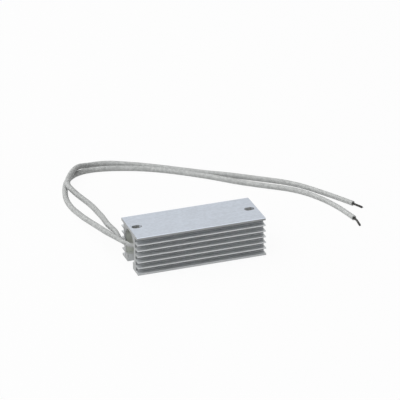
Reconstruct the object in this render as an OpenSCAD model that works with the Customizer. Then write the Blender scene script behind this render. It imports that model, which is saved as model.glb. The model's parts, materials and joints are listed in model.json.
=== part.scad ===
// Aluminium housed power resistor: a finned extrusion with an arched channel, a wire
// wound element cast into the channel, and two insulated leads that leave one end.
// Millimetres. +X runs along the extrusion, away from the end that the leads leave,
// +Z is up, and the origin is in the middle of the surface that the body stands on.

/* [Body] */
// Length of the extrusion
body_l = 100; // [80:1:160]
// Width across the tips of the fins
body_w = 40; // [36:0.5:60]
// Height from the feet to the top plate
body_h = 30.5; // [29:0.5:45]

/* [Fins] */
// Number of fins on each side, below the top plate
fin_rows = 6; // [3:1:7]
// Depth of a fin, from its tip to the leg
fin_depth = 5.7; // [3:0.1:6]
// Thickness of a fin
fin_t = 1; // [1:0.1:1.6]
// Thickness of the lowest fin, on which the body stands
foot_t = 1.5; // [1.2:0.1:2]
// Thickness of the top plate where it overhangs the legs
plate_t = 2.05; // [1.2:0.05:2.4]
// Radius on the edges of each fin's tip
tip_r = 0.4; // [0.2:0.05:0.45]
// Radius in the corners at each fin's root
root_r = 0.6; // [0.2:0.1:0.9]

/* [Channel] */
// Width of the channel between the legs
channel_w = 21; // [18:0.5:24]
// Radius of the channel's arched top corners
arch_r = 9; // [5:0.5:9]
// Thickness of the wall above the channel
crown_t = 2.1; // [1.9:0.1:3]
// Height of the lips that turn inwards at the foot of each leg
lip_h = 6; // [4:0.5:8]
// Gap between the two lips
lip_gap = 13.5; // [10:0.5:16]
// Radius on the edges of the lips
lip_r = 0.5; // [0.2:0.1:1]

/* [Fixing slots] */
// Length of a slot from end to end
slot_l = 8; // [6:0.5:10]
// Width of a slot
slot_w = 5.5; // [4.5:0.5:6]
// Distance from the end of the body to the middle of a slot
slot_inset = 6; // [5:0.5:8]

/* [Filling] */
// Depth of the open recess at each end of the channel
recess = 12; // [10:0.5:14]
// Thickness of the seal at each end of the filling
seal_t = 3; // [2:0.5:5]

/* [Element] */
// Height of the element's axis above the feet
element_z = 15; // [14:0.25:16]
// Diameter of the ceramic core
core_d = 9; // [7:0.5:10]
// Bore through the core
core_bore = 3; // [2.4:0.1:4]
// Diameter of the resistance wire
wire_d = 0.8; // [0.4:0.1:1]
// Turns of resistance wire
turns = 15; // [6:1:24]
// Clearance between the wire and the core
wire_gap = 0.1; // [0.08:0.01:0.2]
// Thickness of an end cap
cap_t = 0.8; // [0.5:0.1:1.2]
// Length of an end cap's skirt
cap_l = 7; // [4:0.5:10]
// Thickness of the insulating sleeve
sleeve_t = 1.4; // [0.8:0.1:2]
// Clearance between the sleeve and the caps and wire
sleeve_gap = 0.15; // [0.1:0.05:0.3]
// Filling beyond the far cap
far_cover = 4; // [2:0.5:8]
// Diameter of the rod that brings the current back from the far cap
rod_d = 1.6; // [1.2:0.1:2]

/* [Leads] */
// Diameter of a lead over its insulation
lead_d = 3.5; // [3:0.1:3.8]
// Distance of each lead from the middle plane, where it leaves the seal
lead_y = 5.5; // [5:0.25:6.5]
// Height of lead A above the element's axis, and of lead B below it, at the seal
lead_rise = 2.4; // [2:0.1:2.8]
// Clearance around a lead in the seal
lead_gap = 0.05; // [0.02:0.01:0.1]
// Length of lead cast into the filling behind the seal
lead_grip = 3; // [2:0.5:5]
// Diameter of a crimp ferrule
crimp_d = 3.2; // [2.6:0.1:3.4]
// Length of a crimp ferrule
crimp_l = 5; // [4:0.5:6]
// Gap between the near cap and the strap of the return rod
strap_gap = 1.6; // [1:0.1:3]
// Thickness of the strap
strap_t = 0.8; // [0.5:0.1:1]
// Diameter of the bare conductor
strand_d = 1.8; // [1.2:0.1:2]

/* [Hidden] */
$fn = 40;

// Fins: level 0 is the foot and the last level is the top plate, with equal gaps between
leg_y = body_w / 2 - fin_depth;
fin_gap = (body_h - foot_t - plate_t - (fin_rows - 1) * fin_t) / fin_rows;
function level_t(i) = i == 0 ? foot_t : i == fin_rows ? plate_t : fin_t;
function level_z(i) = i == 0 ? foot_t / 2
    : foot_t + i * fin_gap + (i - 1) * fin_t + level_t(i) / 2;

// Channel. A narrow flat stays between the arched corners, at the crown.
crown_flat = 2;
channel_top = body_h - crown_t;
corner_r = min(arch_r, (channel_w - crown_flat) / 2);
overcut = 1;

// Stations along X, from the end that the leads leave
end_x = -body_l / 2;
seal_x = end_x + recess;
fill_x = seal_x + seal_t;
fill_l = body_l - 2 * recess - 2 * seal_t;
grip_x = fill_x + lead_grip;
strap_x = grip_x + crimp_l;
near_cap_x = strap_x + strap_t + strap_gap;
far_cap_x = fill_x + fill_l - far_cover;
sleeve_x = near_cap_x + cap_t;
sleeve_l = far_cap_x - cap_t - sleeve_x;

// Crimps: a waist squeezed in between two lands
crimp_waist = 0.8 * crimp_d;
crimp_land = crimp_l / 4;

// Height of each lead at the seal: side -1 is lead A and side 1 is lead B
function lead_z(side) = element_z - side * lead_rise;

// Element radii
skirt_r = core_d / 2 + cap_t;
wire_r = core_d / 2 + wire_gap + wire_d / 2;
sleeve_in_r = max(skirt_r, wire_r + wire_d / 2) + sleeve_gap;
sleeve_r = sleeve_in_r + sleeve_t;

// Winding, from the end of one skirt to the end of the other
coil_x = sleeve_x + cap_l + wire_d / 2;
coil_l = sleeve_l - 2 * cap_l - wire_d;
coil_steps = 20;
wire_sides = 6;

// Routes of the free leads. Each starts behind the seal, comes straight out of the
// recess, comes down to the surface in a slow curve and lies on it. Lead B crosses
// over lead A behind the body, in a low hump.
lead_sides = 8;
ROUTE_A = [
    [grip_x, -lead_y, lead_z(-1)], [seal_x, -lead_y, lead_z(-1)], [-42.3, -5.4, 17.4],
    [-46, -4.8, 17.45], [-49.3, -2.9, 17.65], [-52, 0.3, 18], [-54.2, 5, 18.3],
    [-56, 10.2, 18.3], [-58, 20, 17.4], [-59.2, 33, 15.1], [-60, 46, 12.7],
    [-61, 59, 10.4], [-61.8, 71, 8.2], [-62.3, 84, 5.7], [-62.7, 97, 3.4],
    [-63.5, 109, 1.8], [-63.8, 121, 1.8], [-62.6, 132, 1.8], [-60, 143, 1.8],
    [-56.5, 154, 1.8], [-51.5, 164, 1.8], [-44.5, 171.5, 1.8], [-35.5, 175.5, 1.8],
    [-25, 175.8, 1.8], [-13, 173.3, 1.8], [-1, 169, 1.8], [11, 163.3, 1.8],
    [23, 155.8, 1.8], [35, 146.8, 1.8], [47, 136.5, 1.8], [59, 125.3, 1.8],
    [71, 113, 1.8], [83, 102.3, 1.8], [95, 92.5, 1.8], [106, 83, 1.8],
    [115.5, 71, 1.8], [122.5, 57.5, 1.8], [127.5, 43.5, 1.8], [131, 29, 1.8],
    [133.5, 14.5, 1.8]];
ROUTE_B = [
    [grip_x, lead_y, lead_z(1)], [seal_x, lead_y, lead_z(1)], [-43.5, 5.55, 12.8],
    [-47.7, 6.2, 13.7], [-51.1, 8.4, 15], [-53.1, 12, 16.2], [-53.5, 17.5, 16.9],
    [-53, 26, 16.7], [-53.1, 38, 15], [-52.6, 51, 12.9], [-50.9, 66, 10],
    [-49.6, 77, 7.5], [-48.7, 88, 5.2], [-48.2, 99, 3.5], [-48.4, 109, 2.4],
    [-49.8, 118.5, 2.2], [-52.6, 127.5, 3.3], [-55.6, 136, 5], [-56.8, 145, 5.5],
    [-54.5, 154, 5.5], [-50.3, 162.5, 5.5], [-45.2, 170.5, 5.5], [-39, 177.5, 5],
    [-31.5, 183.2, 3], [-22.5, 185.8, 1.8], [-13, 184, 1.8], [-1, 178, 1.8],
    [11, 170.5, 1.8], [23, 161.5, 1.8], [35, 151.7, 1.8], [47, 142.5, 1.8],
    [59, 134.2, 1.8], [71, 126, 1.8], [83, 116.5, 1.8], [95, 107, 1.8],
    [106.5, 97.3, 1.8], [116.5, 86, 1.8], [125, 72.5, 1.8], [134, 56.5, 1.8],
    [142.5, 40, 1.8]];

// Bare ends of the conductors, from the cut end of the insulation
BARE_A = [[133.5, 14.5, 1.8], [134, 11.6, 1.8], [134, 7, 1.35], [133.7, 2.5, 0.95]];
BARE_B = [[142.5, 40, 1.8], [144.2, 36.7, 1.8], [145.9, 34.4, 1.35], [147.6, 32.3, 0.95]];

// Lays a profile drawn in Y and Z along X
module along_x(x, length)
    translate([x, 0, 0]) rotate([90, 0, 90]) linear_extrude(length) children();

// A round bar along X
module bar_x(x, length, d, y = 0, z = element_z)
    translate([x, y, z]) rotate([0, 90, 0]) cylinder(h = length, d = d);

// The concave corner piece between two walls at right angles
module corner_fillet(r)
    difference() {
        square(r);
        translate([r, r]) circle(r);
    }

// One fin's outline, pointing to +X from its root, with rounded tip edges. A fillet
// stands in each root corner that faces another fin.
module fin_outline(t, upper, lower) {
    translate([-overcut, -t / 2]) square([fin_depth + overcut - tip_r, t]);
    translate([0, tip_r - t / 2]) square([fin_depth, t - 2 * tip_r]);
    for (side = [-1, 1])
        translate([fin_depth - tip_r, side * (t / 2 - tip_r)]) circle(tip_r);
    if (upper) translate([0, t / 2]) corner_fillet(root_r);
    if (lower) mirror([0, 1]) translate([0, t / 2]) corner_fillet(root_r);
}

// The channel between the legs, with its arched top and the gap between the lips
module channel_outline(bottom) {
    inner = channel_w / 2;
    for (side = [-1, 1])
        translate([side * (inner - corner_r), channel_top - corner_r]) circle(corner_r);
    translate([corner_r - inner, channel_top - corner_r - overcut])
        square([channel_w - 2 * corner_r, corner_r + overcut]);
    translate([-inner, bottom]) square([channel_w, channel_top - corner_r - bottom]);
}

// The gap between the lips, with the lips' edges rounded at top and bottom
module lip_gap_outline() {
    translate([-lip_gap / 2, -overcut]) square([lip_gap, lip_h + 2 * overcut]);
    for (side = [0, 1]) mirror([side, 0]) {
        translate([lip_gap / 2, 0]) corner_fillet(lip_r);
        translate([lip_gap / 2, lip_h]) mirror([0, 1]) corner_fillet(lip_r);
    }
}

module body_outline()
    difference() {
        union() {
            translate([-leg_y, 0]) square([2 * leg_y, body_h]);
            for (side = [0, 1], i = [0 : fin_rows])
                mirror([side, 0]) translate([leg_y, level_z(i)])
                    fin_outline(level_t(i), i < fin_rows, i > 0);
        }
        channel_outline(lip_h);
        lip_gap_outline();
    }

module slot_cutter(x)
    translate([x, 0, channel_top - overcut]) linear_extrude(crown_t + 2 * overcut) {
        square([slot_l - slot_w, slot_w], center = true);
        for (side = [-1, 1]) translate([side * (slot_l - slot_w) / 2, 0]) circle(d = slot_w);
    }

module housing()
    color("silver") difference() {
        along_x(end_x, body_l) body_outline();
        slot_cutter(end_x + slot_inset);
        slot_cutter(-end_x - slot_inset);
    }

// Both leads' passages, as round holes
module lead_holes(x, length)
    for (side = [-1, 1])
        bar_x(x, length, lead_d + 2 * lead_gap, side * lead_y, lead_z(side));

module filling()
    color("gainsboro") difference() {
        along_x(fill_x, fill_l) channel_outline(lip_h);
        bar_x(near_cap_x, far_cap_x - near_cap_x, 2 * sleeve_r);
        lead_holes(fill_x - overcut, lead_grip + overcut);
        crimp_shape(-1);
        crimp_shape(1);
        near_post();
        rod_shape();
    }

module seal_left()
    color("darkgray") difference() {
        along_x(seal_x, seal_t) channel_outline(lip_h);
        lead_holes(seal_x - overcut, seal_t + 2 * overcut);
    }

module seal_right()
    color("darkgray") along_x(fill_x + fill_l, seal_t) channel_outline(lip_h);

module sleeve()
    color("tan") difference() {
        bar_x(sleeve_x, sleeve_l, 2 * sleeve_r);
        bar_x(sleeve_x - overcut, sleeve_l + 2 * overcut, 2 * sleeve_in_r);
    }

module core()
    color("white") difference() {
        bar_x(sleeve_x, sleeve_l, core_d);
        bar_x(sleeve_x - overcut, sleeve_l + 2 * overcut, core_bore);
    }

// A tube swept along a list of points, with rings square to the path
function unit(v) = v / norm(v);
function tangent(p, i) = unit(p[min(i + 1, len(p) - 1)] - p[max(i - 1, 0)]);
function ring(c, t, r, sides) =
    let (u = unit(cross(t, [0, 0, 1])), v = cross(u, t))
    [for (k = [0 : sides - 1]) let (a = 360 * k / sides) c + r * (cos(a) * u + sin(a) * v)];

module rings_to_solid(rings) {
    sides = len(rings[0]);
    last = len(rings) - 1;
    faces = concat(
        [[for (k = [sides - 1 : -1 : 0]) k]],
        [for (i = [0 : last - 1], k = [0 : sides - 1])
            let (n = (k + 1) % sides) [i * sides + k, i * sides + n, (i + 1) * sides + k]],
        [for (i = [0 : last - 1], k = [0 : sides - 1])
            let (n = (k + 1) % sides)
            [i * sides + n, (i + 1) * sides + n, (i + 1) * sides + k]],
        [[for (k = [0 : sides - 1]) last * sides + k]]);
    polyhedron(points = [for (r = rings) each r], faces = faces, convexity = 10);
}

module swept_tube(points, d, sides)
    rings_to_solid([for (i = [0 : len(points) - 1])
        ring(points[i], tangent(points, i), d / 2, sides)]);

// The resistance wire: a helix on the core, its ends against the skirts of the caps
module winding() {
    steps = turns * coil_steps;
    color("dimgray") rings_to_solid([for (i = [0 : steps])
        let (a = 360 * i / coil_steps, out = [0, cos(a), sin(a)],
             c = [coil_x + coil_l * i / steps, 0, element_z] + wire_r * out)
        [for (k = [0 : wire_sides - 1])
            let (b = 360 * k / wire_sides)
            c + wire_d / 2 * (cos(b) * out + [sin(b), 0, 0])]]);
}

// A flanged cap: its skirt grips the core and its flange stops the sleeve
module cap_shape(bore) {
    rotate([0, 90, 0]) difference() {
        union() {
            cylinder(h = cap_t, r = sleeve_r);
            cylinder(h = cap_t + cap_l, r = skirt_r);
        }
        translate([0, 0, cap_t]) cylinder(h = cap_l + overcut, d = core_d);
        if (bore > 0) translate([0, 0, -overcut]) cylinder(h = cap_t + 2 * overcut, d = bore);
    }
}

// The post on the near cap that the crimp of lead A meets
module near_post()
    bar_x(strap_x, near_cap_x - strap_x, rod_d, -lead_y, lead_z(-1));

module cap_left()
    color("lightsteelblue") {
        translate([near_cap_x, 0, element_z]) cap_shape(core_bore);
        near_post();
    }

module cap_right()
    color("lightsteelblue")
        translate([far_cap_x, 0, element_z]) mirror([1, 0, 0]) cap_shape(0);

// The rod through the core, with the strap that takes it across to lead B's crimp
module rod_shape() {
    bar_x(strap_x, far_cap_x - cap_t - strap_x, rod_d);
    along_x(strap_x, strap_t) {
        reach = norm([lead_y, lead_rise]);
        lean = -atan2(lead_rise, lead_y);
        translate([0, element_z]) circle(rod_d);
        translate([lead_y, lead_z(1)]) circle(rod_d);
        translate([0, element_z]) rotate(lean) translate([0, -rod_d]) square([reach, 2 * rod_d]);
    }
}

module return_rod()
    color("peru") rod_shape();

// A crimped ferrule between the end of a lead and its terminal
module crimp_shape(side) {
    for (x = [grip_x, strap_x - crimp_land])
        bar_x(x, crimp_land, crimp_d, side * lead_y, lead_z(side));
    bar_x(grip_x, crimp_l, crimp_waist, side * lead_y, lead_z(side));
}

module crimp_a()
    color("goldenrod") crimp_shape(-1);

module crimp_b()
    color("goldenrod") crimp_shape(1);

module lead_a()
    color("lightgray") swept_tube(ROUTE_A, lead_d, lead_sides);

module lead_b()
    color("lightgray") swept_tube(ROUTE_B, lead_d, lead_sides);

module strand_a()
    color("dimgray") swept_tube(BARE_A, strand_d, lead_sides);

module strand_b()
    color("dimgray") swept_tube(BARE_B, strand_d, lead_sides);

housing();
filling();
seal_left();
seal_right();
sleeve();
core();
winding();
cap_left();
cap_right();
return_rod();
crimp_a();
crimp_b();
lead_a();
lead_b();
strand_a();
strand_b();
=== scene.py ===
"""Dresses an aluminium housed power resistor: a finned extrusion with two braided leads."""
import json
import math
import random
import bmesh
import bpy
import numpy as np
from bpy.props import FloatProperty, FloatVectorProperty, IntProperty, PointerProperty
from mathutils import Matrix, Vector


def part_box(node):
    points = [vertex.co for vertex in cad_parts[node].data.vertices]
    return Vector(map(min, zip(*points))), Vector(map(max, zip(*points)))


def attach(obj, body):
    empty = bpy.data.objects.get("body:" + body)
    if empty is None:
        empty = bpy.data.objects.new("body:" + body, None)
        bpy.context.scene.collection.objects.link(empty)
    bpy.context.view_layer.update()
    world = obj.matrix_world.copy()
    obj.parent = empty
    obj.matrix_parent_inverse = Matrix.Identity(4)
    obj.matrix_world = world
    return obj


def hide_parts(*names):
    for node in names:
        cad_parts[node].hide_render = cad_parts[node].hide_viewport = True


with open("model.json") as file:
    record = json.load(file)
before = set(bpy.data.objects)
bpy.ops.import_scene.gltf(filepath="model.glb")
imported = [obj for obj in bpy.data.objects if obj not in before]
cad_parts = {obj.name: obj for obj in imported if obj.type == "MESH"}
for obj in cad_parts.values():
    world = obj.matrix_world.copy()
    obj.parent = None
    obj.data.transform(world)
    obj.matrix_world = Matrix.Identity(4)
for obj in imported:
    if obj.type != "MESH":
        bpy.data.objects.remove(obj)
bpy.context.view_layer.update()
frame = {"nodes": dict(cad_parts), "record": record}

bl_info = {
    "name": "Housed power resistor",
    "version": (1, 0, 0),
    "blender": (4, 5, 0),
    "location": "View3D > Sidebar > Resistor",
    "description": "Builds and finishes a housed power resistor with its leads and stage",
    "category": "Object",
}

MM = 0.001
ROOT = "root"
HOUSING_LOW, HOUSING_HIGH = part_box("housing")
SEAL_LEFT_LOW, SEAL_LEFT_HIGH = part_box("seal_left")
SEAL_RIGHT_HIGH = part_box("seal_right")[1]
SLOT_DIMS = next(m for m in frame["record"]["mounts"] if m["name"] == "fixing_slots")["dims"]

# The extrusion's section; the seals fill its channel from the lips to the arch
CHANNEL_HALF = SEAL_LEFT_HIGH.y
CHANNEL_TOP = SEAL_LEFT_HIGH.z
LIP_TOP = SEAL_LEFT_LOW.z
ARCH_R = 9 * MM
FOOT_TOP = 1.6 * MM
PLATE_BOTTOM = 28.4 * MM

# The saw's centre, in front of and below the housing, and the pitch of its marks
BLADE_ASIDE = 55 * MM
BLADE_BELOW = 120 * MM
BLADE_PITCH = 0.42 * MM

# Room under a lead on the table, and between two leads that meet
TABLE_GAP = 0.05 * MM
LEAD_GAP = 0.1 * MM

WHITE = (1.0, 1.0, 1.0)

# Routes of the free leads, in metres, from behind the seal to the cut insulation
ROUTE_A = [
    (-0.032, -0.0055, 0.0174), (-0.038, -0.0055, 0.0174), (-0.0423, -0.0054, 0.0174),
    (-0.046, -0.0048, 0.01745), (-0.0493, -0.0029, 0.01765), (-0.052, 0.0003, 0.018),
    (-0.0542, 0.005, 0.0183), (-0.056, 0.0102, 0.0183), (-0.058, 0.02, 0.0174),
    (-0.0592, 0.033, 0.0151), (-0.06, 0.046, 0.0127), (-0.061, 0.059, 0.0104),
    (-0.0618, 0.071, 0.0082), (-0.0623, 0.084, 0.0057), (-0.0627, 0.097, 0.0034),
    (-0.0635, 0.109, 0.0018), (-0.0638, 0.121, 0.0018), (-0.0626, 0.132, 0.0018),
    (-0.06, 0.143, 0.0018), (-0.0565, 0.154, 0.0018), (-0.0515, 0.164, 0.0018),
    (-0.0445, 0.1715, 0.0018), (-0.0355, 0.1755, 0.0018), (-0.025, 0.1758, 0.0018),
    (-0.013, 0.1733, 0.0018), (-0.001, 0.169, 0.0018), (0.011, 0.1633, 0.0018),
    (0.023, 0.1558, 0.0018), (0.035, 0.1468, 0.0018), (0.047, 0.1365, 0.0018),
    (0.059, 0.1253, 0.0018), (0.071, 0.113, 0.0018), (0.083, 0.1023, 0.0018),
    (0.095, 0.0925, 0.0018), (0.106, 0.083, 0.0018), (0.1155, 0.071, 0.0018),
    (0.1225, 0.0575, 0.0018), (0.1275, 0.0435, 0.0018), (0.131, 0.029, 0.0018),
    (0.1335, 0.0145, 0.0018),
]
ROUTE_B = [
    (-0.032, 0.0055, 0.0126), (-0.038, 0.0055, 0.0126), (-0.0435, 0.00555, 0.0128),
    (-0.0477, 0.0062, 0.0137), (-0.0511, 0.0084, 0.015), (-0.0531, 0.012, 0.0162),
    (-0.0535, 0.0175, 0.0169), (-0.053, 0.026, 0.0167), (-0.0531, 0.038, 0.015),
    (-0.0526, 0.051, 0.0129), (-0.0509, 0.066, 0.01), (-0.0496, 0.077, 0.0075),
    (-0.0487, 0.088, 0.0052), (-0.0482, 0.099, 0.0035), (-0.0484, 0.109, 0.0024),
    (-0.0498, 0.1185, 0.0022), (-0.0526, 0.1275, 0.0033), (-0.0556, 0.136, 0.005),
    (-0.0568, 0.145, 0.0055), (-0.0545, 0.154, 0.0055), (-0.0503, 0.1625, 0.0055),
    (-0.0452, 0.1705, 0.0055), (-0.039, 0.1775, 0.005), (-0.0315, 0.1832, 0.003),
    (-0.0225, 0.1858, 0.0018), (-0.013, 0.184, 0.0018), (-0.001, 0.178, 0.0018),
    (0.011, 0.1705, 0.0018), (0.023, 0.1615, 0.0018), (0.035, 0.1517, 0.0018),
    (0.047, 0.1425, 0.0018), (0.059, 0.1342, 0.0018), (0.071, 0.126, 0.0018),
    (0.083, 0.1165, 0.0018), (0.095, 0.107, 0.0018), (0.1065, 0.0973, 0.0018),
    (0.1165, 0.086, 0.0018), (0.125, 0.0725, 0.0018), (0.134, 0.0565, 0.0018),
    (0.1425, 0.04, 0.0018),
]
BARE_A = [
    (0.1335, 0.0145, 0.0018), (0.134, 0.0116, 0.0018), (0.134, 0.007, 0.00135),
    (0.1337, 0.0025, 0.00095),
]
BARE_B = [
    (0.1425, 0.04, 0.0018), (0.1442, 0.0367, 0.0018), (0.1459, 0.0344, 0.00135),
    (0.1476, 0.0323, 0.00095),
]


# ---------------------------------------------------------------- settings


class CameraSettings(bpy.types.PropertyGroup):
    azimuth: FloatProperty(name="Azimuth", description="Turn of the view about the vertical",
                           default=math.radians(-17.653), subtype="ANGLE")
    elevation: FloatProperty(name="Elevation", description="Height of the view above the table",
                             default=math.radians(24.131), subtype="ANGLE")
    roll: FloatProperty(name="Roll", description="Tilt of the camera about its own axis",
                        default=math.radians(-1.529), subtype="ANGLE")
    distance: FloatProperty(name="Distance", description="From the camera to the housing",
                            default=2.0868, unit="LENGTH")
    aside: FloatProperty(name="Aside", description="Camera's move to its right",
                         default=0.004613, unit="LENGTH")
    above: FloatProperty(name="Above", description="Camera's move upwards in its own plane",
                         default=0.027046, unit="LENGTH")
    lens: FloatProperty(name="Lens", description="Focal length in millimetres", default=251.8,
                        unit="CAMERA")


class LeadSettings(bpy.types.PropertyGroup):
    diameter: FloatProperty(name="Diameter", description="Over the braid, in the seal",
                            default=3.5 * MM, unit="LENGTH")
    swell: FloatProperty(name="Swell", description="Growth in radius where the braid is loose",
                         default=0.45 * MM, unit="LENGTH")
    bore: FloatProperty(name="Bore", description="Bore of the insulation at its cut end",
                        default=1.9 * MM, unit="LENGTH")
    sides: IntProperty(name="Sides", description="Facets round a lead", default=24, min=8)
    step: FloatProperty(name="Step", description="Distance between a lead's rings",
                        default=1.2 * MM, unit="LENGTH")
    wire: FloatProperty(name="Wire", description="Diameter of one wire of the conductor",
                        default=0.6 * MM, unit="LENGTH")
    lay: FloatProperty(name="Lay", description="Length of one turn of the conductor's twist",
                       default=11 * MM, unit="LENGTH")
    colour: FloatVectorProperty(name="Braid", description="Colour of the lacquered braid",
                                default=(0.335, 0.345, 0.34), subtype="COLOR", size=3)
    # Painted light: the pale colour that the braid is mixed towards at its free end
    free_end_light: FloatVectorProperty(name="Lacquer", description="Colour where the lacquer is clean",
                                 default=(0.75, 0.76, 0.75), subtype="COLOR", size=3)
    fleck: FloatVectorProperty(name="Flecks", description="Colour of the pale flecks",
                               default=(0.62, 0.62, 0.58), subtype="COLOR", size=3)
    strand_colour: FloatVectorProperty(name="Strands", description="Colour of the bare wires",
                                       default=(0.035, 0.034, 0.033), subtype="COLOR", size=3)


class HousingSettings(bpy.types.PropertyGroup):
    colour: FloatVectorProperty(name="Anodising", description="Colour of the clear anodised metal",
                                default=(0.47, 0.51, 0.57), subtype="COLOR", size=3)
    groove: FloatVectorProperty(name="Grooves", description="Colour of the metal between fins",
                                default=(0.62, 0.64, 0.65), subtype="COLOR", size=3)
    sawn: FloatVectorProperty(name="Sawn ends", description="Colour of the sawn end faces",
                              default=(0.355, 0.365, 0.365), subtype="COLOR", size=3)
    roughness: FloatProperty(name="Roughness", description="Roughness of the anodised faces",
                             default=0.42, min=0.05, max=1.0, subtype="FACTOR")
    residue: FloatVectorProperty(name="Residue", description="Compound wiped on the channel",
                                 default=(0.62, 0.64, 0.59), subtype="COLOR", size=3)
    sheen: FloatProperty(name="Sheen", description="How metallic the matt oxide layer looks",
                         default=0.35, min=0.0, max=1.0, subtype="FACTOR")


class FillingSettings(bpy.types.PropertyGroup):
    cement: FloatVectorProperty(name="Cement", description="Colour of the cast cement",
                                default=(0.46, 0.46, 0.42), subtype="COLOR", size=3)
    seal: FloatVectorProperty(name="Seal", description="Colour of the sealing compound",
                              default=(0.24, 0.245, 0.23), subtype="COLOR", size=3)
    meniscus: FloatProperty(name="Meniscus", description="How far the seal creeps up the walls",
                            default=0.7 * MM, unit="LENGTH")


class StageSettings(bpy.types.PropertyGroup):
    size: FloatProperty(name="Size", description="Length of the floor's sides", default=12.0,
                        unit="LENGTH")
    floor: FloatVectorProperty(name="Floor", description="Colour of the floor",
                               default=(0.72, 0.72, 0.72), subtype="COLOR", size=3)
    glow: FloatProperty(name="Glow", description="Share of plain white in the floor as seen",
                        default=0.94, min=0.0, max=1.0, subtype="FACTOR")
    world: FloatProperty(name="World", description="Strength of the light from all round",
                         default=0.30)
    key: FloatProperty(name="Key", description="Power of the lamp overhead", default=76.0,
                       unit="POWER")
    side: FloatProperty(name="Side", description="Power of the lamp at the left", default=30.0,
                        unit="POWER")


# ---------------------------------------------------------------- materials


class Value:
    """A socket that adds Math nodes when it is used in an expression."""

    def __init__(self, finish, socket):
        self.finish = finish
        self.socket = socket

    def __add__(self, other):
        return self.finish.math("ADD", self, other)

    def __radd__(self, other):
        return self.finish.math("ADD", other, self)

    def __sub__(self, other):
        return self.finish.math("SUBTRACT", self, other)

    def __rsub__(self, other):
        return self.finish.math("SUBTRACT", other, self)

    def __mul__(self, other):
        return self.finish.math("MULTIPLY", self, other)

    def __rmul__(self, other):
        return self.finish.math("MULTIPLY", other, self)

    def __abs__(self):
        return self.finish.math("ABSOLUTE", self)


class Finish:
    """The nodes of a material, or of the world, under construction."""

    def __init__(self, name, kind="materials"):
        self.owner = getattr(bpy.data, kind).new(name)
        self.owner.use_nodes = True
        self.tree = self.owner.node_tree
        self.tree.nodes.clear()

    def node(self, kind, inputs=None, output=0, **settings):
        made = self.tree.nodes.new(kind)
        for key, value in settings.items():
            setattr(made, key, value)
        for key, value in (inputs or {}).items():
            self.plug(value, made.inputs[key])
        return Value(self, made.outputs[output]) if len(made.outputs) else None

    def plug(self, value, socket):
        """Links a value, or sets a number, a vector, or a colour with or without its alpha."""
        if isinstance(value, Value):
            self.tree.links.new(value.socket, socket)
        elif hasattr(value, "__len__"):
            value = tuple(value)
            socket.default_value = value if len(value) == len(socket.default_value) \
                else (*value, 1.0)
        else:
            socket.default_value = value

    def math(self, operation, first, second=0.0):
        return self.node("ShaderNodeMath", {0: first, 1: second}, operation=operation)

    def sin(self, value):
        return self.math("SINE", value)

    def between(self, value, low, high):
        """0 below low, 1 above high, smooth in between."""
        return self.node("ShaderNodeMapRange", {"Value": value, "From Min": low,
                                                "From Max": high},
                         interpolation_type="SMOOTHSTEP")

    def under(self, value, edge, blur=0.2 * MM):
        """1 up to the edge, 0 past the blur above it."""
        return 1 - self.between(value, edge, edge + blur)

    def square_on(self, part):
        """1 where this part of the normal is nearly all of it."""
        return self.between(part, 0.80, 0.95)

    def clamp(self, value):
        return self.node("ShaderNodeClamp", {"Value": value})

    def place(self):
        return self.node("ShaderNodeTexCoord", output="Object")

    def split(self, vector):
        outputs = self.node("ShaderNodeSeparateXYZ", {0: vector}).socket.node.outputs
        return [Value(self, outputs[i]) for i in range(3)]

    def stretched(self, vector, factors):
        return self.node("ShaderNodeVectorMath", {0: vector, 1: factors}, operation="MULTIPLY")

    def joined(self, x, y, z):
        return self.node("ShaderNodeCombineXYZ", {0: x, 1: y, 2: z})

    def noise(self, vector, scale, detail=2.0, roughness=0.5):
        return self.node("ShaderNodeTexNoise", {"Vector": vector, "Scale": scale,
                                                "Detail": detail, "Roughness": roughness})

    def mix(self, factor, first, second):
        return self.node("ShaderNodeMix", {0: factor, 6: first, 7: second}, output=2,
                         data_type="RGBA")

    def tones(self, factor, colour, dark, light):
        """From a darker to a lighter shade of the colour."""
        return self.mix(factor, shade(colour, dark), shade(colour, light))

    def bump(self, height, distance, strength):
        return self.node("ShaderNodeBump", {"Height": height, "Distance": distance,
                                            "Strength": strength})

    def seen(self):
        """1 for the rays that show a thing: straight, in a gloss, or through glass."""
        rays = self.node("ShaderNodeLightPath").socket.node.outputs
        straight, glossy, through = (
            Value(self, rays[name])
            for name in ("Is Camera Ray", "Is Glossy Ray", "Is Transmission Ray"))
        return self.math("MAXIMUM", self.math("MAXIMUM", straight, glossy), through)

    def surface(self, colour, roughness, normal, metallic=0.0, **constants):
        inputs = {"Base Color": colour, "Roughness": roughness, "Metallic": metallic,
                  "Normal": normal}
        inputs.update({key.replace("_", " ").title(): value
                       for key, value in constants.items()})
        shader = self.node("ShaderNodeBsdfPrincipled", inputs)
        self.node("ShaderNodeOutputMaterial", {"Surface": shader})
        return self.owner


def shade(colour, factor):
    """The colour made darker or lighter."""
    return tuple(min(1.0, channel * factor) for channel in colour)


def saw_marks(f, here):
    """Arcs that the blade left on the end faces, and fine tears along them."""
    x, y, z = f.split(here)
    aside, above = y + BLADE_ASIDE, z + BLADE_BELOW
    radius = f.math("SQRT", aside * aside + above * above)
    wander = f.noise(here, 240.0, 2.0)
    arcs = f.sin(radius * (2 * math.pi / BLADE_PITCH) + wander * 9.0)
    tears = f.noise(f.joined(x, radius * 3400.0, y * 160.0), 1.0, 3.0)
    return arcs, tears


def slot_rims(f, x, y):
    """1 on the eased rims of the two slots."""
    half = SLOT_DIMS["spacing_x_mm"] * MM / 2
    radius = SLOT_DIMS["hole_r_mm"] * MM
    straight = SLOT_DIMS["slot_length_mm"] * MM / 2 - radius
    along = f.math("MAXIMUM", abs(abs(x) - half) - straight, 0.0)
    to_rim = f.math("SQRT", along * along + y * y) - radius
    return f.under(to_rim, 0.12 * MM, 0.26 * MM)


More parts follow.
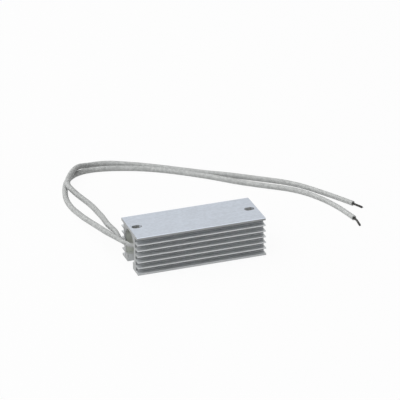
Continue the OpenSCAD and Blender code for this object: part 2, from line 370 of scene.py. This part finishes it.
def anodised_extrusion(settings):
    """Clear anodised metal with die lines along X and sawn ends, with painted shade in the
    grooves, slots and front faces, and painted highlights on the eased slot rims and the top's
    long edges.
    """
    f = Finish("anodised_extrusion")
    here = f.place()
    x, y, z = f.split(here)
    facing = f.split(f.node("ShaderNodeNewGeometry", output="True Normal"))
    end, beside = f.square_on(abs(facing[0])), f.square_on(abs(facing[1]))
    eased_rim_highlight = slot_rims(f, x, y) * f.square_on(facing[2])

    die = f.noise(f.stretched(here, (9, 2600, 2600)), 1.0, 3.0, 0.55)
    broad_lines = f.noise(f.stretched(here, (4, 420, 420)), 1.0, 2.0)
    cloud = f.noise(here, 55.0, 4.0, 0.6)
    speckle = f.between(f.noise(f.stretched(here, (420, 1000, 1000)), 1.0), 0.3, 0.7)
    grain = f.noise(here, 5200.0, 2.0)
    arcs, tears = saw_marks(f, here)

    # Between the fins the film is greyer; painted shade darkens the roots between the fins, the
    # slot walls, the plate's front face and the foot's tip, and a painted highlight lightens the
    # top plate's long edges
    from_side, from_top = HOUSING_HIGH.y - abs(y), HOUSING_HIGH.z - z
    finned = f.under(z, PLATE_BOTTOM - 0.1 * MM)
    outer = beside * f.under(from_side, 1.0 * MM, 0.5 * MM)
    edge_highlight = f.under(from_side, 0.25 * MM, 0.3 * MM) * f.under(from_top, 0.25 * MM, 0.3 * MM)
    root = finned * (beside - outer)
    slot_wall = (1 - finned) * (beside - outer)
    plate_edge = (1 - finned) * outer * (1 - edge_highlight)
    foot = outer * f.under(z, FOOT_TOP)
    painted_shade = root * 0.75 + slot_wall * 0.45 + plate_edge * 0.6 + foot * 0.3

    tone = f.clamp(die * 0.15 + broad_lines * 0.25 + cloud * 0.25 + speckle * 0.35)
    film = f.tones(tone, settings.colour, 0.80, 1.20)
    film = f.mix(f.between(cloud, 0.56, 0.74) * 0.35, film, shade(settings.colour, 1.18))
    grey = f.tones(tone, settings.groove, 0.86, 1.14)
    film = f.mix(f.math("MAXIMUM", finned, beside), film, grey)
    # Painted shade: the film is darkened almost to black at the roots, slot walls, plate front and
    # foot tip
    film = f.mix(painted_shade, film, shade(settings.groove, 0.12))
    # Painted highlight: the top plate's long edges are lightened
    film = f.mix(edge_highlight * 0.8, film, shade(settings.colour, 1.6))
    sawn = f.tones(f.clamp(tears * 0.7 + arcs * 0.12 + 0.1), settings.sawn, 0.82, 1.18)

    # Compound is wiped on the channel's walls, none on the lips, and thinning out at the mouths;
    # towards the arch the compound is painted darker as shade
    channel = f.under(abs(y), CHANNEL_HALF) * f.under(z, CHANNEL_TOP) * (1 - end)
    smear = f.noise(here, 330.0, 3.0, 0.6)
    skin = channel * f.under(abs(x) + (smear - 0.5) * (3 * MM), HOUSING_HIGH.x - 1.5 * MM,
                             2.5 * MM)
    wiped_with_shade = f.tones(smear, settings.residue, 0.88, 1.1)
    wiped_with_shade = f.mix(f.between(z, 0.5 * CHANNEL_TOP, CHANNEL_TOP), wiped_with_shade,
                  shade(settings.residue, 0.55))
    wiped_with_shade = f.mix(f.between(z, LIP_TOP - 0.5 * MM, LIP_TOP + 0.5 * MM),
                  shade(settings.groove, 0.92), wiped_with_shade)

    colour = f.mix(skin, f.mix(end, film, sawn), wiped_with_shade)
    # Painted highlight on the slot rims; the rims are also made smoother below
    colour = f.mix(eased_rim_highlight * 0.6, colour, shade(settings.colour, 1.35))
    roughness = settings.roughness + (die - 0.5) * 0.14 + (cloud - 0.5) * 0.12
    roughness = roughness * (1 - end) + (0.40 + tears * 0.14) * end - eased_rim_highlight * 0.08 + skin * 0.3
    height = (die * 0.6 + broad_lines * 0.5 + grain * 0.25) * (1 - end) \
        + (arcs * 0.35 + tears * 1.1) * end
    return f.surface(colour, f.clamp(roughness), f.bump(height, 0.012 * MM, 0.9),
                     metallic=(1 - skin) * settings.sheen)


def braided_lead(settings):
    """Lacquered glass braid over rubber: two sets of yarns that cross on a slant."""
    f = Finish("braided_lead")
    u, v, _ = f.split(f.node("ShaderNodeUVMap", uv_map="UVMap"))
    carriers = 8.0
    right = (u + v) * carriers
    left = (u - v) * carriers
    over_right = f.sin(right * math.pi)
    over_left = f.sin(left * math.pi)
    weave = f.sin(right * (math.pi / 2)) * f.sin(left * (math.pi / 2))
    pick = f.between(weave, -0.25, 0.25)
    height = over_right * over_right * pick + over_left * over_left * (1 - pick)
    here = f.place()
    mottle = f.noise(here, 420.0, 3.0, 0.6)
    drift = f.noise(here, 60.0, 2.0)
    filament = f.noise(f.joined(u * 160.0, v * 14.0, 0.0), 1.0, 2.0)
    tone = f.clamp(height * 0.3 + f.between(mottle, 0.3, 0.7) * 0.5 + drift * 0.2)
    colour = f.tones(tone, settings.colour, 0.52, 1.48)
    # Painted light: the braid is painted paler towards the free end; v counts girths, nearly 40
    # along a lead
    colour = f.mix(f.between(v, 0.0, 40.0) * 0.22, colour, settings.free_end_light)
    colour = f.mix(f.between(mottle, 0.60, 0.72) * 0.25, colour, settings.fleck)
    roughness = 0.50 + (mottle - 0.5) * 0.25 - height * 0.06
    normal = f.bump(height + filament * 0.3, 0.035 * MM, 0.75)
    return f.surface(colour, f.clamp(roughness), normal, coat_weight=0.12,
                     coat_roughness=0.35)


def cut_insulation(settings):
    """The cut face of a lead: rubber inside the ends of the braid, pale both as paler rubber and
    as painted light.
    """
    f = Finish("cut_insulation")
    grit = f.noise(f.place(), 2600.0, 3.0)
    # Paler rubber and painted light: the face is 1.7 to 2.2 times the braid's colour
    colour = f.tones(grit, settings.colour, 1.7, 2.2)
    return f.surface(colour, 0.62 + grit * 0.2, f.bump(grit, 0.05 * MM, 0.8))


def bare_strand(settings):
    """Dull plated wire with draw marks, and bright where the dark tarnish is thin."""
    f = Finish("bare_strand")
    here = f.place()
    tarnish = f.noise(here, 900.0, 4.0, 0.6)
    marks = f.noise(here, 6500.0, 2.0)
    colour = f.mix(f.between(tarnish, 0.54, 0.72), settings.strand_colour,
                   shade(settings.strand_colour, 9.0))
    roughness = 0.30 + tarnish * 0.30
    return f.surface(colour, roughness, f.bump(marks, 0.01 * MM, 0.5), metallic=0.7)


def cast_cement(settings):
    """Cast cement: fine sand, pores and a pale skin."""
    f = Finish("cast_cement")
    here = f.place()
    sand = f.noise(here, 2400.0, 4.0, 0.65)
    cloud = f.noise(here, 140.0, 3.0)
    pores = f.node("ShaderNodeTexVoronoi", {"Vector": here, "Scale": 620.0})
    pit = f.under(pores, 0.10, 0.16)
    colour = f.tones(f.clamp(sand * 0.6 + cloud * 0.4), settings.cement, 0.78, 1.2)
    # Painted shade: the pores are darkened
    colour = f.mix(pit * 0.7, colour, shade(settings.cement, 0.45))
    return f.surface(colour, 0.82 + sand * 0.1, f.bump(sand * 0.5 - pit, 0.08 * MM, 0.8))


def sealing_compound(settings):
    """Cured sealing compound: satin, faintly rippled, with dust."""
    f = Finish("sealing_compound")
    here = f.place()
    ripple = f.noise(here, 260.0, 2.0)
    dust = f.noise(here, 3200.0, 3.0)
    colour = f.tones(ripple, settings.seal, 0.8, 1.25)
    colour = f.mix(f.between(dust, 0.62, 0.74) * 0.5, colour, shade(settings.seal, 2.4))
    return f.surface(colour, 0.38 + dust * 0.25, f.bump(ripple + dust * 0.15, 0.06 * MM, 0.6))


def plain_metal(name, colour, roughness):
    """A drawn or pressed metal: streaks along X and slight tarnish."""
    f = Finish(name)
    here = f.place()
    streak = f.noise(f.stretched(here, (0.08, 1, 1)), 1500.0, 3.0)
    cloud = f.noise(here, 300.0, 3.0)
    tint = f.tones(f.clamp(streak * 0.6 + cloud * 0.4), colour, 0.75, 1.2)
    return f.surface(tint, f.clamp(roughness + (cloud - 0.5) * 0.25),
                     f.bump(streak, 0.01 * MM, 0.6), metallic=1.0)


def fired_ceramic(name, colour, roughness, fineness):
    """Fired or pressed mineral: grain of the given fineness and a soft cloud of colour."""
    f = Finish(name)
    here = f.place()
    grain = f.noise(here, fineness, 3.0, 0.6)
    cloud = f.noise(here, 180.0, 2.0)
    tint = f.tones(f.clamp(grain * 0.5 + cloud * 0.5), colour, 0.82, 1.12)
    return f.surface(tint, roughness + grain * 0.12, f.bump(grain, 0.03 * MM, 0.7))


def pale_floor(settings):
    """A matt floor that is mostly plain white where it is seen, and keeps its shadows."""
    f = Finish("pale_floor")
    paper = f.noise(f.place(), 300.0, 2.0)
    matt = f.node("ShaderNodeBsdfDiffuse", {
        "Color": f.tones(paper, settings.floor, 0.985, 1.015)})
    glow = f.node("ShaderNodeEmission", {"Color": WHITE, "Strength": 1.0})
    mixed = f.node("ShaderNodeMixShader", {0: f.seen() * settings.glow, 1: matt, 2: glow})
    f.node("ShaderNodeOutputMaterial", {"Surface": mixed})
    return f.owner


def pale_surroundings(settings):
    """A world that is white where it is seen and lights the object softly."""
    f = Finish("surroundings", "worlds")
    light = f.node("ShaderNodeBackground", {"Color": WHITE, "Strength": settings.world})
    shown = f.node("ShaderNodeBackground", {"Color": WHITE, "Strength": 1.0})
    mixed = f.node("ShaderNodeMixShader", {0: f.seen(), 1: light, 2: shown})
    f.node("ShaderNodeOutputWorld", {"Surface": mixed})
    return f.owner


# ---------------------------------------------------------------- shapes


def deselect():
    bpy.ops.object.select_all(action="DESELECT")


def pick_only(piece):
    deselect()
    piece.select_set(True)
    bpy.context.view_layer.objects.active = piece


def dress(piece, *materials):
    """Gives a piece these materials in place of those it has."""
    piece.data.materials.clear()
    for material in materials:
        piece.data.materials.append(material)


def run_along(line):
    """The distance along the line at each of its points."""
    return np.concatenate([[0], np.cumsum(np.linalg.norm(np.diff(line, axis=0), axis=1))])


def smooth_line(points, step):
    """Points about a step apart on the natural cubic spline through the given points."""
    knots = np.array(points, float)
    at = run_along(knots)
    span = np.diff(at)
    last = len(span)
    system, right = np.eye(last + 1), np.zeros((last + 1, 3))
    for i in range(1, last):
        before, after = span[i - 1], span[i]
        system[i, i - 1:i + 2] = before, 2 * (before + after), after
        right[i] = 6 * ((knots[i + 1] - knots[i]) / after - (knots[i] - knots[i - 1]) / before)
    bend = np.linalg.solve(system, right)
    fine = np.linspace(0, at[-1], math.ceil(at[-1] / step) + 1)
    i = np.clip(np.searchsorted(at, fine, side="right") - 1, 0, last - 1)
    a, b = ((at[i + 1] - fine) / span[i])[:, None], ((fine - at[i]) / span[i])[:, None]
    square = (span[i] ** 2 / 6)[:, None]
    return a * knots[i] + b * knots[i + 1] \
        + square * ((a ** 3 - a) * bend[i] + (b ** 3 - b) * bend[i + 1])


def frames_along(line):
    """A tangent and two square directions at each point, turning as little as they can."""
    tangents = np.gradient(line, axis=0)
    tangents /= np.linalg.norm(tangents, axis=1)[:, None]
    side = np.cross(tangents[0], (0, 0, 1))
    side /= np.linalg.norm(side)
    sides = []
    for tangent in tangents:
        side = side - (side @ tangent) * tangent
        side /= np.linalg.norm(side)
        sides.append(side)
    sides = np.array(sides)
    return tangents, sides, np.cross(tangents, sides)


def smooth_step(values, low, high):
    """0 below low, 1 above high, smooth in between."""
    share = np.clip((values - low) / (high - low), 0, 1)
    return share * share * (3 - 2 * share)


def loose_radii(line, settings):
    """Radius at each point: as cast in the seal, loose past the mouth, close at the cut end."""
    run = run_along(line)
    opened = smooth_step(run, 26 * MM, 56 * MM)
    closed = smooth_step(run, 0.7 * run[-1], run[-1])
    return settings.diameter / 2 + settings.swell * opened * (1 - 0.6 * closed)


def eased(push):
    """The push widened and then averaged along the run, so that it comes and goes gently."""
    reach = 6
    for blend in (np.max, np.mean):
        padded = np.pad(push, reach, mode="edge")
        windows = np.lib.stride_tricks.sliding_window_view(padded, 2 * reach + 1)
        push = blend(windows, axis=1)
    return push


def laid(line, radii, under=None, under_radii=None):
    """Lays the line on the table: beside the other lead, or over it where it is in a hump."""
    line = line.copy()
    line[:, 2] += eased(np.maximum(radii + TABLE_GAP - line[:, 2], 0))
    if under is None:
        return line
    offsets = line[:, None, :2] - under[None, :, :2]
    gaps = np.linalg.norm(offsets, axis=2)
    nearest = gaps.argmin(axis=1)
    rows = np.arange(len(line))
    gap, offset = gaps[rows, nearest], offsets[rows, nearest]
    room = radii + under_radii[nearest] + LEAD_GAP
    crowded = gap < room
    behind = line[:, 1] > 2 * HOUSING_HIGH.y
    low = line[:, 2] <= 1.5 * radii
    over = under[nearest, 2] + np.sqrt(np.maximum(room ** 2 - gap ** 2, 0))
    lift = np.where(behind & ~low & crowded, np.maximum(over - line[:, 2], 0), 0)
    aside = np.where(low & crowded, room - gap, 0)
    line[:, 2] += eased(lift)
    line[:, :2] += offset * (eased(aside) / gap)[:, None]
    return line


def lead_tube(name, line, radii, settings, seed):
    """A tube along the line whose far end shows the cut insulation round its bore."""
    draw = random.Random(seed)
    sides = settings.sides
    radius, bore = radii[-1], settings.bore / 2
    girth = 2 * math.pi * radius
    tangents, across, over = frames_along(line)
    run = run_along(line)
    fray = 0.16 * MM
    ragged = [draw.uniform(-0.5, 0.5) * fray for _ in range(sides)]
    # Each ring: point on the line, radius, place along the tube, and how ragged it is
    last = len(line) - 1
    rings = [(i, radii[i], 0.0, 0.0) for i in range(last)]
    rings += [(last, radius * 1.01, -0.35 * MM, 0.0), (last, radius * 1.02, -0.06 * MM, 0.7),
              (last, radius * 0.96, 0.0, 1.0), (last, bore + 0.12 * MM, -0.04 * MM, 0.4),
              (last, bore, -0.12 * MM, 0.0), (last, bore * 0.97, -0.5 * MM, 0.0)]
    cut_from = last + 2

    mesh = bpy.data.meshes.new(name)
    build = bmesh.new()
    layer = build.loops.layers.uv.new("UVMap")
    loops = []
    for index, r, slide, rough in rings:
        centre = line[index] + tangents[index] * slide
        loops.append([build.verts.new(Vector(
            centre + tangents[index] * ragged[k] * rough
            + r * (math.cos(2 * math.pi * k / sides) * across[index]
                   + math.sin(2 * math.pi * k / sides) * over[index])))
            for k in range(sides)])
    for i, (one, two) in enumerate(zip(loops, loops[1:])):
        va, vb = (run[rings[j][0]] + rings[j][2] for j in (i, i + 1))
        for k in range(sides):
            n = (k + 1) % sides
            face = build.faces.new((one[k], one[n], two[n], two[k]))
            face.smooth = True
            face.material_index = int(i >= cut_from)
            for loop, (u, v) in zip(face.loops, ((k, va), (k + 1, va), (k + 1, vb), (k, vb))):
                loop[layer].uv = (u / sides, v / girth)
    build.faces.new(loops[0][::-1])
    end = build.faces.new(loops[-1])
    end.material_index = 1
    bmesh.ops.recalc_face_normals(build, faces=build.faces)
    build.to_mesh(mesh)
    build.free()
    tube = bpy.data.objects.new(name, mesh)
    bpy.context.scene.collection.objects.link(tube)
    return tube


def twisted_wires(name, bare, settings, seed):
    """Wires twisted about the bare end's line, six round one, from inside the insulation."""
    draw = random.Random(seed)
    around = 6
    hidden, splayed = 1.5 * MM, 3 * MM
    outward = (Vector(bare[1]) - Vector(bare[0])).normalized()
    line = smooth_line([tuple(Vector(bare[0]) - outward * hidden), *bare], 0.3 * MM)
    _, across, over = frames_along(line)
    run = run_along(line)
    lowest = settings.wire / 2 + 0.02 * MM
    curve = bpy.data.curves.new(name, "CURVE")
    curve.dimensions = "3D"
    curve.bevel_depth = settings.wire / 2
    curve.bevel_resolution = 2
    curve.use_fill_caps = True
    for wire in range(around + 1):
        orbit = settings.wire if wire else 0.0
        start = 2 * math.pi * wire / around
        short = draw.randint(0, 2)
        stray = draw.uniform(0.0, 0.22)
        count = len(line) - short
        spline = curve.splines.new("POLY")
        spline.points.add(count - 1)
        for i in range(count):
            open_up = max(0.0, run[i] - run[-1] + splayed) / splayed
            angle = start + 2 * math.pi * run[i] / settings.lay
            out = orbit * (1 + stray * open_up ** 2)
            place = line[i] + out * (math.cos(angle) * across[i] + math.sin(angle) * over[i])
            place[2] = max(place[2], lowest)
            spline.points[i].co = (*place, 1.0)
    piece = bpy.data.objects.new(name, curve)
    bpy.context.scene.collection.objects.link(piece)
    pick_only(piece)
    bpy.ops.object.convert(target="MESH")
    bpy.ops.object.shade_smooth()
    return piece


def channel_opening(x, gap):
    """The outline of the channel at x, a gap inside its walls, with the arch rounded."""
    deselect()
    low, high = LIP_TOP + gap, CHANNEL_TOP - gap
    middle = (x, 0.0, (low + high) / 2)
    reach = (CHANNEL_HALF - gap, (high - low) / 2)
    bpy.ops.mesh.primitive_plane_add(size=2, location=middle, rotation=(0, math.pi / 2, 0))
    bpy.ops.object.mode_set(mode="EDIT")
    bpy.ops.transform.resize(value=(1, *reach), center_override=middle)
    bpy.ops.object.mode_set(mode="OBJECT")
    bpy.ops.object.transform_apply(location=True, rotation=True, scale=True)
    outline = bpy.context.active_object
    for vertex in outline.data.vertices:
        vertex.select = vertex.co.z > middle[2]
    bpy.ops.object.mode_set(mode="EDIT")
    bpy.ops.mesh.bevel(offset=ARCH_R - gap, segments=12, affect="VERTICES")
    bpy.ops.mesh.select_all(action="SELECT")
    bpy.ops.mesh.delete(type="ONLY_FACE")
    bpy.ops.object.mode_set(mode="OBJECT")
    return outline, middle, reach


def lead_outline(x, y, z, radius):
    """A ring at x round a lead."""
    deselect()
    middle = (x, y, z)
    bpy.ops.mesh.primitive_circle_add(vertices=32, radius=radius, location=middle,
                                      rotation=(0, math.pi / 2, 0))
    bpy.ops.object.transform_apply(location=True, rotation=True, scale=True)
    return bpy.context.active_object, middle, (radius, radius)


def creep_up(name, outline, middle, reach, size, along, off):
    """Extrudes an outline into a concave bead between a wall and the face of a seal.

    along is the way out of the seal along X; off is 1 where the seal's face lies outside the
    outline and -1 where it lies inside; reach is the outline's half width and half height.
    """
    steps = 5
    arc = [math.pi / 2 * k / steps for k in range(steps + 1)]
    section = [(0.0, 0.0)] + [(size * (1 - math.sin(a)), size * (1 - math.cos(a))) for a in arc]
    section.append(section[0])
    pick_only(outline)
    outline.name = name
    bpy.ops.object.mode_set(mode="EDIT")
    bpy.ops.mesh.select_all(action="SELECT")
    for (out, up), (next_out, next_up) in zip(section, section[1:]):
        bpy.ops.mesh.extrude_edges_move(
            TRANSFORM_OT_translate={"value": (along * (next_up - up), 0, 0)})
        bpy.ops.transform.resize(
            value=(1, *((r + off * next_out) / (r + off * out) for r in reach)),
            center_override=middle)
    bpy.ops.mesh.select_all(action="SELECT")
    bpy.ops.mesh.remove_doubles(threshold=0.01 * MM)
    bpy.ops.mesh.normals_make_consistent(inside=False)
    bpy.ops.object.mode_set(mode="OBJECT")
    bpy.ops.object.shade_smooth_by_angle(angle=math.radians(40))
    return outline


# ---------------------------------------------------------------- operators


class RESISTOR_OT_camera(bpy.types.Operator):
    """Places the camera in front of the housing, a little to the left and above"""

    bl_idname = "resistor.camera"
    bl_label = "Place camera"

    def execute(self, context):
        s = context.scene.resistor_camera
        back = Vector((math.sin(s.azimuth) * math.cos(s.elevation),
                       -math.cos(s.azimuth) * math.cos(s.elevation), math.sin(s.elevation)))
        right = Vector((math.cos(s.azimuth), math.sin(s.azimuth), 0))
        up = back.cross(right)
        rolled_right = math.cos(s.roll) * right + math.sin(s.roll) * up
        rolled_up = -math.sin(s.roll) * right + math.cos(s.roll) * up
        middle = (HOUSING_LOW + HOUSING_HIGH) / 2
        data = bpy.data.cameras.new("camera")
        data.lens = s.lens
        data.clip_end = 20
        camera = bpy.data.objects.new("camera", data)
        turn = Matrix((rolled_right, rolled_up, back)).transposed().to_4x4()
        camera.matrix_world = Matrix.Translation(
            middle + s.distance * back + s.aside * rolled_right + s.above * rolled_up) @ turn
        context.scene.collection.objects.link(camera)
        context.scene.camera = camera
        return {"FINISHED"}


class RESISTOR_OT_leads(bpy.types.Operator):
    """Makes the two braided leads and their twisted bare ends"""

    bl_idname = "resistor.leads"
    bl_label = "Make leads"

    def execute(self, context):
        s = context.scene.resistor_leads
        braid, cut, wire = braided_lead(s), cut_insulation(s), bare_strand(s)
        below = ()
        for letter, route, bare, seed in (("a", ROUTE_A, BARE_A, 3), ("b", ROUTE_B, BARE_B, 8)):
            line = smooth_line(route, s.step)
            radii = loose_radii(line, s)
            line = laid(line, radii, *below)
            below = (line, radii)
            tube = lead_tube(f"braided_lead_{letter}", line, radii, s, seed)
            dress(tube, braid, cut)
            wires = twisted_wires(f"twisted_wires_{letter}", bare, s, seed)
            dress(wires, wire)
            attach(tube, ROOT)
            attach(wires, ROOT)
            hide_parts(f"lead_{letter}")
            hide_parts(f"strand_{letter}")
        return {"FINISHED"}


class RESISTOR_OT_housing(bpy.types.Operator):
    """Gives the extrusion its anodised finish"""

    bl_idname = "resistor.housing"
    bl_label = "Finish housing"

    def execute(self, context):
        dress(frame["nodes"]["housing"], anodised_extrusion(context.scene.resistor_housing))
        return {"FINISHED"}


class RESISTOR_OT_filling(bpy.types.Operator):
    """Finishes the cement, the seals and the sealed element, and makes the seals' beads"""

    bl_idname = "resistor.filling"
    bl_label = "Finish filling"

    def execute(self, context):
        s = context.scene.resistor_filling
        nodes = frame["nodes"]
        dress(nodes["filling"], cast_cement(s))
        seal = sealing_compound(s)
        dress(nodes["seal_left"], seal)
        dress(nodes["seal_right"], seal)
        for piece in self.beads(s.meniscus, context.scene.resistor_leads.diameter / 2):
            dress(piece, seal)
            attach(piece, ROOT)
        caps = plain_metal("plated_cap", (0.55, 0.54, 0.52), 0.35)
        ferrules = plain_metal("crimp_ferrule", (0.66, 0.50, 0.24), 0.4)
        for name, material in (
                ("sleeve", fired_ceramic("rolled_mica", (0.42, 0.33, 0.22), 0.5, 900.0)),
                ("core", fired_ceramic("fired_core", (0.78, 0.76, 0.7), 0.7, 2600.0)),
                ("winding", plain_metal("alloy_wire", (0.22, 0.21, 0.2), 0.45)),
                ("cap_left", caps), ("cap_right", caps),
                ("return_rod", plain_metal("drawn_copper", (0.62, 0.30, 0.18), 0.35)),
                ("crimp_a", ferrules), ("crimp_b", ferrules)):
            dress(nodes[name], material)
        return {"FINISHED"}

    def beads(self, size, lead_radius):
        """Compound crept up the channel's walls at both seals and up the leads."""
        left, right = SEAL_LEFT_LOW.x, SEAL_RIGHT_HIGH.x
        wall_gap, lead_gap = 0.01 * MM, 0.02 * MM
        made = [creep_up("bead_left", *channel_opening(left, wall_gap), size, -1, -1),
                creep_up("bead_right", *channel_opening(right, wall_gap), size, 1, -1)]
        for letter, route in (("a", ROUTE_A), ("b", ROUTE_B)):
            _, y, z = route[1]
            ring = lead_outline(left, y, z, lead_radius + lead_gap)
            made.append(creep_up(f"bead_{letter}", *ring, size, -1, 1))
        return made


class RESISTOR_OT_stage(bpy.types.Operator):
    """Makes the floor, the soft lamps and the pale surroundings"""

    bl_idname = "resistor.stage"
    bl_label = "Make stage"

    def execute(self, context):
        s = context.scene.resistor_stage
        deselect()
        bpy.ops.mesh.primitive_plane_add(size=s.size, location=(0, 0, 0))
        floor = context.active_object
        floor.name = "floor"
        dress(floor, pale_floor(s))
        for name, place, width, power in (
                ("key", (-1.16, 0.95, 2.11), 4.0, s.key),
                ("side", (-1.59, -1.59, 1.3), 2.6, s.side)):
            data = bpy.data.lights.new(name, "AREA")
            data.shape = "SQUARE"
            data.size = width
            data.energy = power
            lamp = bpy.data.objects.new(name, data)
            lamp.location = place
            lamp.rotation_euler = (-Vector(place)).to_track_quat("-Z", "Y").to_euler()
            context.scene.collection.objects.link(lamp)
        context.scene.world = pale_surroundings(s)
        context.scene.view_settings.view_transform = "Standard"
        return {"FINISHED"}


class RESISTOR_PT_panel(bpy.types.Panel):
    """Shows a button for each of the resistor's operators"""

    bl_idname = "RESISTOR_PT_panel"
    bl_label = "Housed resistor"
    bl_space_type = "VIEW_3D"
    bl_region_type = "UI"
    bl_category = "Resistor"

    def draw(self, context):
        for operator in OPERATORS:
            self.layout.operator(operator.bl_idname)


GROUPS = {
    "resistor_camera": CameraSettings,
    "resistor_leads": LeadSettings,
    "resistor_housing": HousingSettings,
    "resistor_filling": FillingSettings,
    "resistor_stage": StageSettings,
}
OPERATORS = (RESISTOR_OT_camera, RESISTOR_OT_leads, RESISTOR_OT_housing, RESISTOR_OT_filling,
             RESISTOR_OT_stage)


def register():
    for group in GROUPS.values():
        bpy.utils.register_class(group)
    for name, group in GROUPS.items():
        setattr(bpy.types.Scene, name, PointerProperty(type=group))
    for operator in (*OPERATORS, RESISTOR_PT_panel):
        bpy.utils.register_class(operator)


def unregister():
    for operator in reversed((*OPERATORS, RESISTOR_PT_panel)):
        bpy.utils.unregister_class(operator)
    for name in GROUPS:
        delattr(bpy.types.Scene, name)
    for group in reversed(list(GROUPS.values())):
        bpy.utils.unregister_class(group)


def main():
    register()
    bpy.ops.resistor.camera()
    bpy.ops.resistor.leads()
    bpy.ops.resistor.housing()
    bpy.ops.resistor.filling()
    bpy.ops.resistor.stage()


if __name__ == "__main__":
    main()
